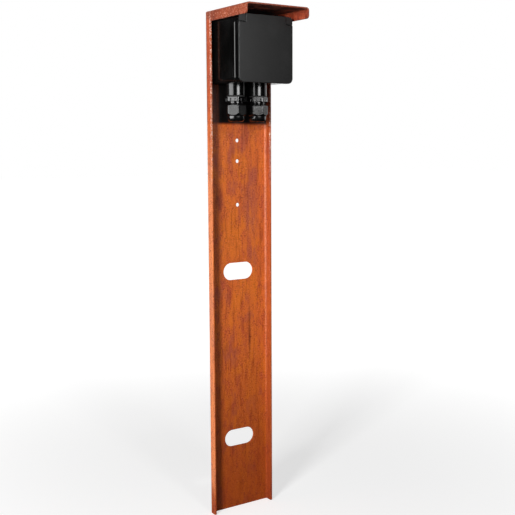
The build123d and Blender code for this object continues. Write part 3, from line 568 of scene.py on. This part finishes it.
hex_half = 12.0 * mm
corner_round_share = 0.035
corner_press_share = 0.6
gland_turns = {"left": math.radians(-20), "right": math.radians(2)}
gland_axes = {}
for side in ("left", "right"):
    seal_low, seal_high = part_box(side + "_cable_seal")
    gland_axes[side] = ((seal_low.x + seal_high.x) / 2, (seal_low.y + seal_high.y) / 2)


def hexagon_radius(angle, half_across):
    """Distance from the axis to a hexagon with flats at zero and every sixty degrees: the flat's distance
    over the cosine of the angle from its middle, with the corner drawn in a little."""
    local = (angle + math.pi / 6) % (math.pi / 3) - math.pi / 6
    flat = half_across / np.cos(local)
    sharp = half_across / math.cos(math.pi / 6)
    limit = sharp * (1 - corner_round_share)
    over = np.maximum(flat - limit, 0)
    return flat - over ** 2 / (sharp - limit) * corner_press_share, local


def about_axis(name, side, radius, level, crease):
    """Closed rings about a gland's axis: one row for each level, one column for each angle."""
    x, y = gland_axes[side]
    turned = np.linspace(0, 2 * math.pi, radius.shape[1], endpoint=False)[None] + gland_turns[side]
    points = np.stack([x + radius * np.cos(turned), y + radius * np.sin(turned), level + 0 * radius], -1)
    return make_piece(name, points, [rows_to_faces(*radius.shape, close_rows=True)], crease)


collar_height = 6.0 * mm
collar_bevel = 0.5 * mm
collar_bevel_slope = 0.7
collar_land = 1.2 * mm
collar_notch_width = 1.3 * mm
collar_notch_place = 3.0 * mm
collar_notch_depth = 0.7 * mm
collar_notch_height = 4.0 * mm
collar_notch_edge = 0.3 * mm
collar_notch_end = 0.5 * mm
neck_radius = 9.0 * mm
neck_plain = 1.6 * mm
neck_start = 0.3 * mm
neck_length = 9.0 * mm
neck_shown = 4.7 * mm
thread_pitch = 1.5 * mm
thread_depth = 0.5 * mm
thread_run_out = 0.8 * mm
shank_radius = 9.9 * mm
shank_length = 11.0 * mm
shank_bevel = 0.6 * mm
gland_bore = 6.4 * mm
bore_bevel = 0.3 * mm
seat_radius = 7.2 * mm
seat_above_neck_end = 4.3 * mm
finger_count = 8
finger_slot = 1.2 * mm
finger_root = 8.7 * mm
finger_tip = 7.5 * mm
finger_tip_round = 0.1 * mm
finger_end = 0.3 * mm
finger_tip_gap = 0.05 * mm
finger_root_gap = 0.02 * mm
finger_columns = 9
body_columns = 288
collar_rows = 12
thread_rows = 60
body_crease = 30


def collar_outside(angle, level, bottom):
    """The hexagon with its rims bevelled, less two upright notches in each flat that reach part of the way
    up."""
    radius, local = hexagon_radius(angle, hex_half)
    off_centre = np.abs(np.abs(radius * np.sin(local)) - collar_notch_place)
    inside_notch = (collar_notch_width + collar_notch_edge) / 2 - off_centre
    beside = np.clip(inside_notch / collar_notch_edge, 0, 1)
    above = np.clip((bottom + collar_notch_height - level) / collar_notch_end, 0, 1)
    edge = np.minimum(level - bottom, bottom + collar_height - level)
    rim = np.clip(1 - edge / collar_bevel, 0, 1) * collar_bevel * collar_bevel_slope
    return radius - collar_notch_depth * beside * above - rim


def gland_body(side):
    """Rings down the outside: shank, collar, plain neck, and a screw thread whose crest climbs one pitch for
    each turn, faded out at both ends. Then across the neck's end and up the seat and the bore."""
    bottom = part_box(side + "_cable_seal")[1].z + neck_shown
    top = bottom + collar_height
    neck_end = bottom - neck_length
    shank_top = top + shank_length
    collar_levels = np.concatenate([[top, top - collar_bevel],
                                    np.linspace(top - collar_land, bottom + collar_bevel, collar_rows),
                                    [bottom]])
    thread_levels = np.linspace(bottom - neck_plain, neck_end, thread_rows)
    outer_levels = np.concatenate([[shank_top, shank_top - shank_bevel, top], collar_levels,
                                   [bottom, bottom - neck_start], thread_levels])
    seat_end = neck_end + seat_above_neck_end
    inner_levels = np.array([neck_end, seat_end, seat_end, shank_top - bore_bevel, shank_top])
    inner_radii = np.array([seat_radius, seat_radius, gland_bore, gland_bore, gland_bore + bore_bevel])
    angle = np.linspace(0, 2 * math.pi, body_columns, endpoint=False)[None]
    flat = 0 * angle
    shank = np.array([shank_radius - shank_bevel, shank_radius, shank_radius])[:, None] + flat
    collar = collar_outside(angle, collar_levels[:, None], bottom)
    neck = np.full((2, 1), neck_radius) + flat
    level = thread_levels[:, None]
    climb = level / thread_pitch - angle / (2 * math.pi)
    fade = np.clip(np.minimum(thread_levels[0] - level, level - neck_end) / thread_run_out, 0, 1)
    thread = neck_radius - thread_depth * fade * (0.5 - 0.5 * np.cos(2 * math.pi * climb))
    inner = inner_radii[:, None] + flat
    radius = np.concatenate([shank, collar, neck, thread, inner])
    levels = np.concatenate([outer_levels, inner_levels])[:, None]
    return about_axis(side + "_gland_collar", side, radius, levels, body_crease)


def clamping_fingers(side):
    """Bars about the axis. Each is one profile of radius and level, straight then tapered to a rounded tip,
    carried round from one slot to the next. A slot's sides are parallel, so its angle is the arcsine of half
    its width over the radius."""
    neck_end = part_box(side + "_cable_seal")[1].z + neck_shown - neck_length
    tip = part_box(side + "_gland_body")[0].z
    root = neck_end + finger_end
    radius = np.array([finger_root, finger_root, finger_tip + finger_tip_round, finger_tip - finger_tip_round,
                       seat_radius + finger_tip_gap, seat_radius + finger_root_gap])
    level = np.array([root, (neck_end + tip) / 2, tip + finger_end, tip, tip + finger_tip_round, root])
    step = 2 * math.pi / finger_count
    start = np.arcsin(finger_slot / 2 / radius)[None]
    share = np.linspace(0, 1, finger_columns)[:, None]
    angle = start + share * (step - 2 * start)
    x, y = gland_axes[side]
    rows, columns = angle.shape
    points, faces = [], []
    for number in range(finger_count):
        turned = angle + number * step + gland_turns[side]
        points.append(np.stack([x + radius * np.cos(turned), y + radius * np.sin(turned),
                                level + 0 * turned], -1))
        base = number * rows * columns
        first = base + np.arange(columns)[None]
        faces += [base + rows_to_faces(rows, columns), first[:, ::-1], first + (rows - 1) * columns]
    return make_piece(side + "_clamping_fingers", np.concatenate(points), faces, body_crease)


nut_bore = 9.08 * mm
nut_mouth = 6.4 * mm
nut_cone = 3.2 * mm
nut_dome_height = 7.0 * mm
nut_top_bevel = 0.9 * mm
nut_top_slope = 1.6
nut_bevel = 0.2 * mm
mouth_bevel = 0.6 * mm
bore_relief = 0.3 * mm
dome_root = 11.2 * mm
dome_end = 7.7 * mm
dome_power = 2.4
rib_pitch = 1.25 * mm
rib_depth = 0.12 * mm
rib_run_out = 0.8 * mm
nut_top_land = 1.2 * mm
nut_side_start = 1.6 * mm
nut_top_rows = 6
nut_side_rows = 6
nut_cone_rows = 22
dome_rows = 18
dome_first_share = 0.04
nut_columns = 600
nut_crease = 40


def nut_outside(angle, level, bottom, top):
    """The ribbed hexagon, cut to a cone above and below, and the dome's arc under it: the least of them."""
    radius, local = hexagon_radius(angle, hex_half)
    sideways = radius * np.sin(local)
    half_flat = hex_half * math.tan(math.pi / 6)
    fade = np.clip((half_flat - np.abs(sideways) - rib_pitch / 2) / rib_pitch * 2, 0, 1)
    into_top = np.clip((top - level) / rib_run_out, 0, 1)
    wave = 0.5 - 0.5 * np.cos(2 * math.pi * (sideways / rib_pitch + 0.5))
    ribbed = radius - rib_depth * wave * fade * into_top
    corner = hex_half / math.cos(math.pi / 6)
    lower = dome_root + (level - bottom) / nut_cone * (corner - dome_root)
    upper = corner - nut_top_bevel + (top - level) * nut_top_slope
    below = np.clip((bottom - level) / nut_dome_height, 0, 1)
    dome = dome_end + (dome_root - dome_end) * np.sqrt(np.maximum(1 - below ** dome_power, 0))
    hexagon = np.minimum(np.minimum(ribbed, np.maximum(lower, dome_root)), upper)
    return np.where(level < bottom, dome, hexagon)


def cap_nut(side):
    """The nut as rings about the gland's axis: down the outside, across the end, up the cone and the bore."""
    nut_low, nut_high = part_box(side + "_cap_nut")
    top, end = nut_high.z, nut_low.z
    bottom = end + nut_dome_height
    down_dome = np.sin(np.linspace(dome_first_share, 1, dome_rows) * math.pi / 2)
    outer_levels = np.concatenate([
        np.linspace(top, top - nut_top_land, nut_top_rows),
        np.linspace(top - nut_side_start, bottom + nut_cone + nut_bevel, nut_side_rows),
        np.linspace(bottom + nut_cone, bottom, nut_cone_rows),
        bottom - nut_dome_height * down_dome])
    inner_levels = np.array([end, end + mouth_bevel, bottom, bottom + bore_relief, top])
    inner_radii = np.array([nut_mouth + nut_bevel, nut_mouth, nut_bore, nut_bore, nut_bore + nut_bevel])
    angle = np.linspace(0, 2 * math.pi, nut_columns, endpoint=False)[None]
    outer = nut_outside(angle, outer_levels[:, None], bottom, top)
    radius = np.concatenate([outer, inner_radii[:, None] + 0 * angle])
    level = np.concatenate([outer_levels, inner_levels])[:, None]
    return about_axis(side + "_ribbed_nut", side, radius, level, nut_crease)


for side in ("left", "right"):
    for piece, body, node in [(gland_body(side), "post", "_gland_body"),
                              (clamping_fingers(side), "post", "_gland_body"),
                              (cap_nut(side), side + "_nut", "_cap_nut")]:
        piece.data.materials.append(moulded_nylon)
        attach(piece, body)
        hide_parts(side + node)

# Seals: soft black rubber, moulded, dull, with the faint grey bloom that rubber gets. The cable seal in each
# gland is a sleeve with three ribs inside that grip the cable. The flat seals and the gaskets are plain.
rubber_black = paint("#151515")
rubber_bloom = paint("#262524")
bloom_size = 3 * mm
bloom_rise = 0.05 * mm
soft_rubber, tree, output, position = new_material("soft_black_rubber")
bloom = add(tree, "TexNoise", {"Vector": position, "Scale": 1 / bloom_size, "Detail": 4}).outputs[0]
colour = add(tree, "Mix", {0: bloom, 6: rubber_black, 7: rubber_bloom}, data_type="RGBA").outputs[2]
bump = add(tree, "Bump", {"Height": bloom, "Strength": 0.3, "Distance": bloom_rise}).outputs[0]
shader = add(tree, "BsdfPrincipled", {"Base Color": colour, "Roughness": 0.75, "Normal": bump})
tree.links.new(shader.outputs[0], output.inputs[0])
dress(["gland_face_seals", "frame_gasket", "lid_gasket"], soft_rubber)

seal_hole = 5.0 * mm
seal_bevel = 0.3 * mm
seal_rib_count = 3
seal_rib_rise = 0.5 * mm
seal_mouth = 0.9 * mm
seal_mouth_share = 0.12
seal_rows = 40
seal_columns = 96
seal_crease = 40


def cable_seal(side):
    """Rings down the sleeve's outside and up its hole, whose radius swells towards both ends and is drawn in
    three times between them as a cosine."""
    seal_low, seal_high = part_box(side + "_cable_seal")
    outside = (seal_high.x - seal_low.x) / 2
    outer_levels = np.array([seal_high.z, seal_high.z - seal_bevel, seal_low.z + seal_bevel, seal_low.z])
    outer = np.array([outside - seal_bevel, outside, outside, outside - seal_bevel])
    inner_levels = np.linspace(seal_low.z, seal_high.z, seal_rows)
    share = np.linspace(0, 1, seal_rows)
    ends = np.clip(1 - np.minimum(share, 1 - share) / seal_mouth_share, 0, 1)
    ribs = 0.5 + 0.5 * np.cos(2 * math.pi * seal_rib_count * (share - 0.5))
    inner = seal_hole + seal_rib_rise * (1 - ribs) * (1 - ends) + seal_mouth * ends
    radius = np.repeat(np.concatenate([outer, inner])[:, None], seal_columns, 1)
    levels = np.concatenate([outer_levels, inner_levels])[:, None]
    return about_axis(side + "_seal_sleeve", side, radius, levels, seal_crease)


for side in ("left", "right"):
    sleeve = cable_seal(side)
    sleeve.data.materials.append(soft_rubber)
    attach(sleeve, "post")
    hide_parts(side + "_cable_seal")

# Contact block and shutter: moulded from a grey thermoset, which is harder than the box's plastic. The skin
# from the mould is a little glossy, with faint flow marks.
grey_body = paint("#4c4d50")
grey_flow = paint("#5d5e61")
grey_flow_size = 5 * mm
grey_flow_rise = 0.05 * mm
grey_moulding, tree, output, position = new_material("grey_moulded_block")
flow = add(tree, "TexNoise", {"Vector": position, "Scale": 1 / grey_flow_size, "Detail": 3}).outputs[0]
colour = add(tree, "Mix", {0: flow, 6: grey_body, 7: grey_flow}, data_type="RGBA").outputs[2]
bump = add(tree, "Bump", {"Height": flow, "Strength": 0.2, "Distance": grey_flow_rise}).outputs[0]
shader = add(tree, "BsdfPrincipled", {"Base Color": colour, "Roughness": 0.42, "Normal": bump})
tree.links.new(shader.outputs[0], output.inputs[0])
dress(["contact_block", "pin_shutter"], grey_moulding)

# Contact sleeves, earth bracket and terminal clamps: brass strip, rolled, then cut and bent. Fine lines run
# one way along it and break up its shine, and it has begun to tarnish.
brass_bright = paint("#d9b25c")
brass_dull = paint("#a87f3a")
brass_line_width = 0.3 * mm
brass_line_stretch = 0.06
brass_line_rise = 0.01 * mm
tarnish_size = 4 * mm
brass_roughness = (0.25, 0.42)
rolled_brass, tree, output, position = new_material("rolled_brass")
rolled = add(tree, "Mapping", {"Vector": position, "Scale": (1, brass_line_stretch, 1)}).outputs[0]
lines = add(tree, "TexNoise", {"Vector": rolled, "Scale": 1 / brass_line_width, "Detail": 3}).outputs[0]
tarnish = add(tree, "TexNoise", {"Vector": position, "Scale": 1 / tarnish_size, "Detail": 4}).outputs[0]
colour = add(tree, "Mix", {0: tarnish, 6: brass_bright, 7: brass_dull}, data_type="RGBA").outputs[2]
gloss = add(tree, "MapRange", {0: lines, 1: noise_low, 2: noise_high, 3: brass_roughness[0],
                               4: brass_roughness[1]}).outputs[0]
bump = add(tree, "Bump", {"Height": lines, "Strength": 0.3, "Distance": brass_line_rise}).outputs[0]
shader = add(tree, "BsdfPrincipled", {"Base Color": colour, "Roughness": gloss, "Normal": bump,
                                      "Metallic": 1.0})
tree.links.new(shader.outputs[0], output.inputs[0])
dress(["contact_sleeves", "earth_bracket", "terminal_clamps"], rolled_brass)

# Screws, washers, hinge pin and springs: stainless steel, turned, punched or drawn to wire, and left plain.
# It is a light grey metal with a soft shine that handling has made a little uneven.
steel_light = paint("#b9b8b4")
steel_shade = paint("#8f8e8a")
wipe_size = 2 * mm
stainless_roughness = (0.28, 0.4)
stainless, tree, output, position = new_material("plain_stainless_steel")
wipe = add(tree, "TexNoise", {"Vector": position, "Scale": 1 / wipe_size, "Detail": 4}).outputs[0]
colour = add(tree, "Mix", {0: wipe, 6: steel_light, 7: steel_shade}, data_type="RGBA").outputs[2]
gloss = add(tree, "MapRange", {0: wipe, 1: noise_low, 2: noise_high, 3: stainless_roughness[0],
                               4: stainless_roughness[1]}).outputs[0]
shader = add(tree, "BsdfPrincipled", {"Base Color": colour, "Roughness": gloss, "Metallic": 1.0})
tree.links.new(shader.outputs[0], output.inputs[0])
dress(["box_fixing_screws", "box_fixing_washers", "frame_screws", "hinge_pin", "lid_spring",
       "insert_screws", "shutter_spring", "terminal_screws"], stainless)

# Studio floor and the world behind it, both plain and white. Where it is seen or mirrored the floor glows,
# less so near the object, where it keeps the soft shadow. The world gives the object little of its light.
floor_reach = 12.0
floor_near = 0.15
floor_far = 1.2
floor_near_glow = 0.62
world_light = 0.11


def level_square(name, reach, level):
    """Square about the object, whose corners lie at plus and minus its reach, all at one level."""
    corners = [(-reach, -reach, level), (reach, -reach, level), (reach, reach, level), (-reach, reach, level)]
    return make_piece(name, corners, [np.array([[0, 1, 2, 3]])])


def seen_share(tree):
    """One for what the camera sees directly, in gloss or through glass, and zero for light on the object."""
    paths = add(tree, "LightPath", {}).outputs
    seen = paths["Is Camera Ray"]
    for way in ("Is Glossy Ray", "Is Transmission Ray"):
        seen = add(tree, "Math", {0: seen, 1: paths[way]}, operation="MAXIMUM").outputs[0]
    return seen


floor = level_square("floor", floor_reach, 0)
floor_paint, tree, output, position = new_material("white_floor")
distance = add(tree, "VectorMath", {0: position}, operation="LENGTH").outputs["Value"]
glow_strength = add(tree, "MapRange", {0: distance, 1: floor_near, 2: floor_far, 3: floor_near_glow, 4: 1},
                    interpolation_type="SMOOTHSTEP").outputs[0]
matt = add(tree, "BsdfDiffuse", {"Color": paint("#bdbdbd")}).outputs[0]
glow = add(tree, "Emission", {"Color": (1, 1, 1, 1), "Strength": glow_strength}).outputs[0]
lifted = add(tree, "AddShader", {0: matt, 1: glow}).outputs[0]
shown = add(tree, "MixShader", {0: seen_share(tree), 1: matt, 2: lifted}).outputs[0]
tree.links.new(shown, output.inputs[0])
floor.data.materials.append(floor_paint)

world = bpy.data.worlds.new("studio")
world.use_nodes = True
tree = world.node_tree
tree.nodes.clear()
output = add(tree, "OutputWorld", {})
strength = add(tree, "MapRange", {0: seen_share(tree), 1: 0, 2: 1, 3: world_light, 4: 1}).outputs[0]
background = add(tree, "Background", {"Color": (1, 1, 1, 1), "Strength": strength}).outputs[0]
tree.links.new(background, output.inputs[0])
bpy.context.scene.world = world

# Lamps: the key lamp stands low, to the left of the camera, with a weak one further round and a small one
# high in front. A wide screen at the left and a narrow one in front only show in the object's gloss, where
# they draw the two bright bars down each gland.


def soft_box(name, azimuth, elevation, distance, aim_height, size, power, reflected=False):
    """Lamp panel, in metres and watts, that faces a height on the post's axis. It stands off at a compass
    angle, counted from the front towards the left, and at a height angle. It lights the object, or where
    reflected is set it only shows in its gloss."""
    turn, rise = math.radians(azimuth), math.radians(elevation)
    away = Vector((-math.sin(turn) * math.cos(rise), -math.cos(turn) * math.cos(rise), math.sin(rise)))
    lamp = bpy.data.lights.new(name, "AREA")
    lamp.shape = "RECTANGLE"
    lamp.size, lamp.size_y = size
    lamp.energy = power
    holder = bpy.data.objects.new(name, lamp)
    holder.location = Vector((0, 0, aim_height)) + away * distance
    holder.rotation_euler = away.to_track_quat("Z", "Y").to_euler()
    holder.visible_glossy = reflected
    holder.visible_diffuse = not reflected
    holder.visible_camera = False
    bpy.context.collection.objects.link(holder)


soft_box("key_lamp", azimuth=57, elevation=9, distance=2.2, aim_height=0.33, size=(0.45, 0.45), power=57)
soft_box("left_lamp", azimuth=96, elevation=4, distance=1.5, aim_height=0.4, size=(0.85, 1.1), power=3)
soft_box("top_lamp", azimuth=7, elevation=35, distance=2.0, aim_height=0.5, size=(0.25, 0.25), power=5.5)
soft_box("left_screen", azimuth=91, elevation=0, distance=1.5, aim_height=0.5, size=(1.5, 1.0), power=40,
         reflected=True)
soft_box("front_screen", azimuth=5, elevation=2, distance=0.5, aim_height=0.64, size=(0.235, 0.2), power=3.1,
         reflected=True)

# Flags of black cloth round the object and a black card over the floor. They only show in its gloss too, and
# keep the mouldings black between the bright bars, as in the photograph.
flag_distance = 2.6
flag_height = 2.2
flag_points = 16
card_reach = 2.6
card_lift = 1 * mm
flag_black, tree, output, position = new_material("black_flag_cloth")
cloth = add(tree, "BsdfDiffuse", {"Color": paint("#050505")}).outputs[0]
tree.links.new(cloth, output.inputs[0])


def blacken(screen):
    """Black cloth that neither the camera nor the light on the object meets, so that only gloss shows it."""
    screen.data.materials.append(flag_black)
    screen.visible_camera = False
    screen.visible_diffuse = False
    screen.visible_shadow = False


def curved_flag(name, start, end):
    """Upright screen from the floor up: a circle's arc about the object between two compass angles, which are
    counted from the front towards the left."""
    turn = np.radians(np.linspace(start, end, flag_points))
    line = np.stack([-flag_distance * np.sin(turn), -flag_distance * np.cos(turn)], 1)
    foot, head = np.c_[line, np.zeros(flag_points)], np.c_[line, np.full(flag_points, flag_height)]
    low = np.arange(flag_points - 1)
    faces = np.stack([low, low + 1, low + 1 + flag_points, low + flag_points], 1)
    return make_piece(name, np.concatenate([foot, head]), [faces])


for name, start, end in [("flag_between_lamps", 18, 65), ("flag_right", -9, -72),
                         ("flag_behind_left", 118, 200)]:
    flag = curved_flag(name, start, end)
    blacken(flag)

card = level_square("black_floor_card", card_reach, card_lift)
blacken(card)

# Camera: where the photograph was taken from, worked out from the post's straight edges. Its place is in
# metres from the middle of the post's foot, its heading, tilt and roll are in degrees.
camera_place = (-0.62454, -0.98329, 0.48439)
camera_heading = 33.719
camera_tilt = -7.143
camera_roll = -0.277
camera_lens = 62.463
camera = bpy.data.cameras.new("camera")
camera.lens = camera_lens
camera.sensor_width = 36.0
camera.sensor_fit = "HORIZONTAL"
viewer = bpy.data.objects.new("camera", camera)
bpy.context.collection.objects.link(viewer)
yaw, pitch, roll = (math.radians(angle) for angle in (camera_heading, camera_tilt, camera_roll))
forward = Vector((math.sin(yaw) * math.cos(pitch), math.cos(yaw) * math.cos(pitch), math.sin(pitch)))
level_right = Vector((math.cos(yaw), -math.sin(yaw), 0))
level_up = level_right.cross(forward)
right = level_right * math.cos(roll) + level_up * math.sin(roll)
up = level_up * math.cos(roll) - level_right * math.sin(roll)
turned = Matrix((right, up, -forward)).transposed().to_4x4()
viewer.matrix_world = Matrix.Translation(camera_place) @ turned
bpy.context.scene.camera = viewer
bpy.context.scene.view_settings.view_transform = "Standard"
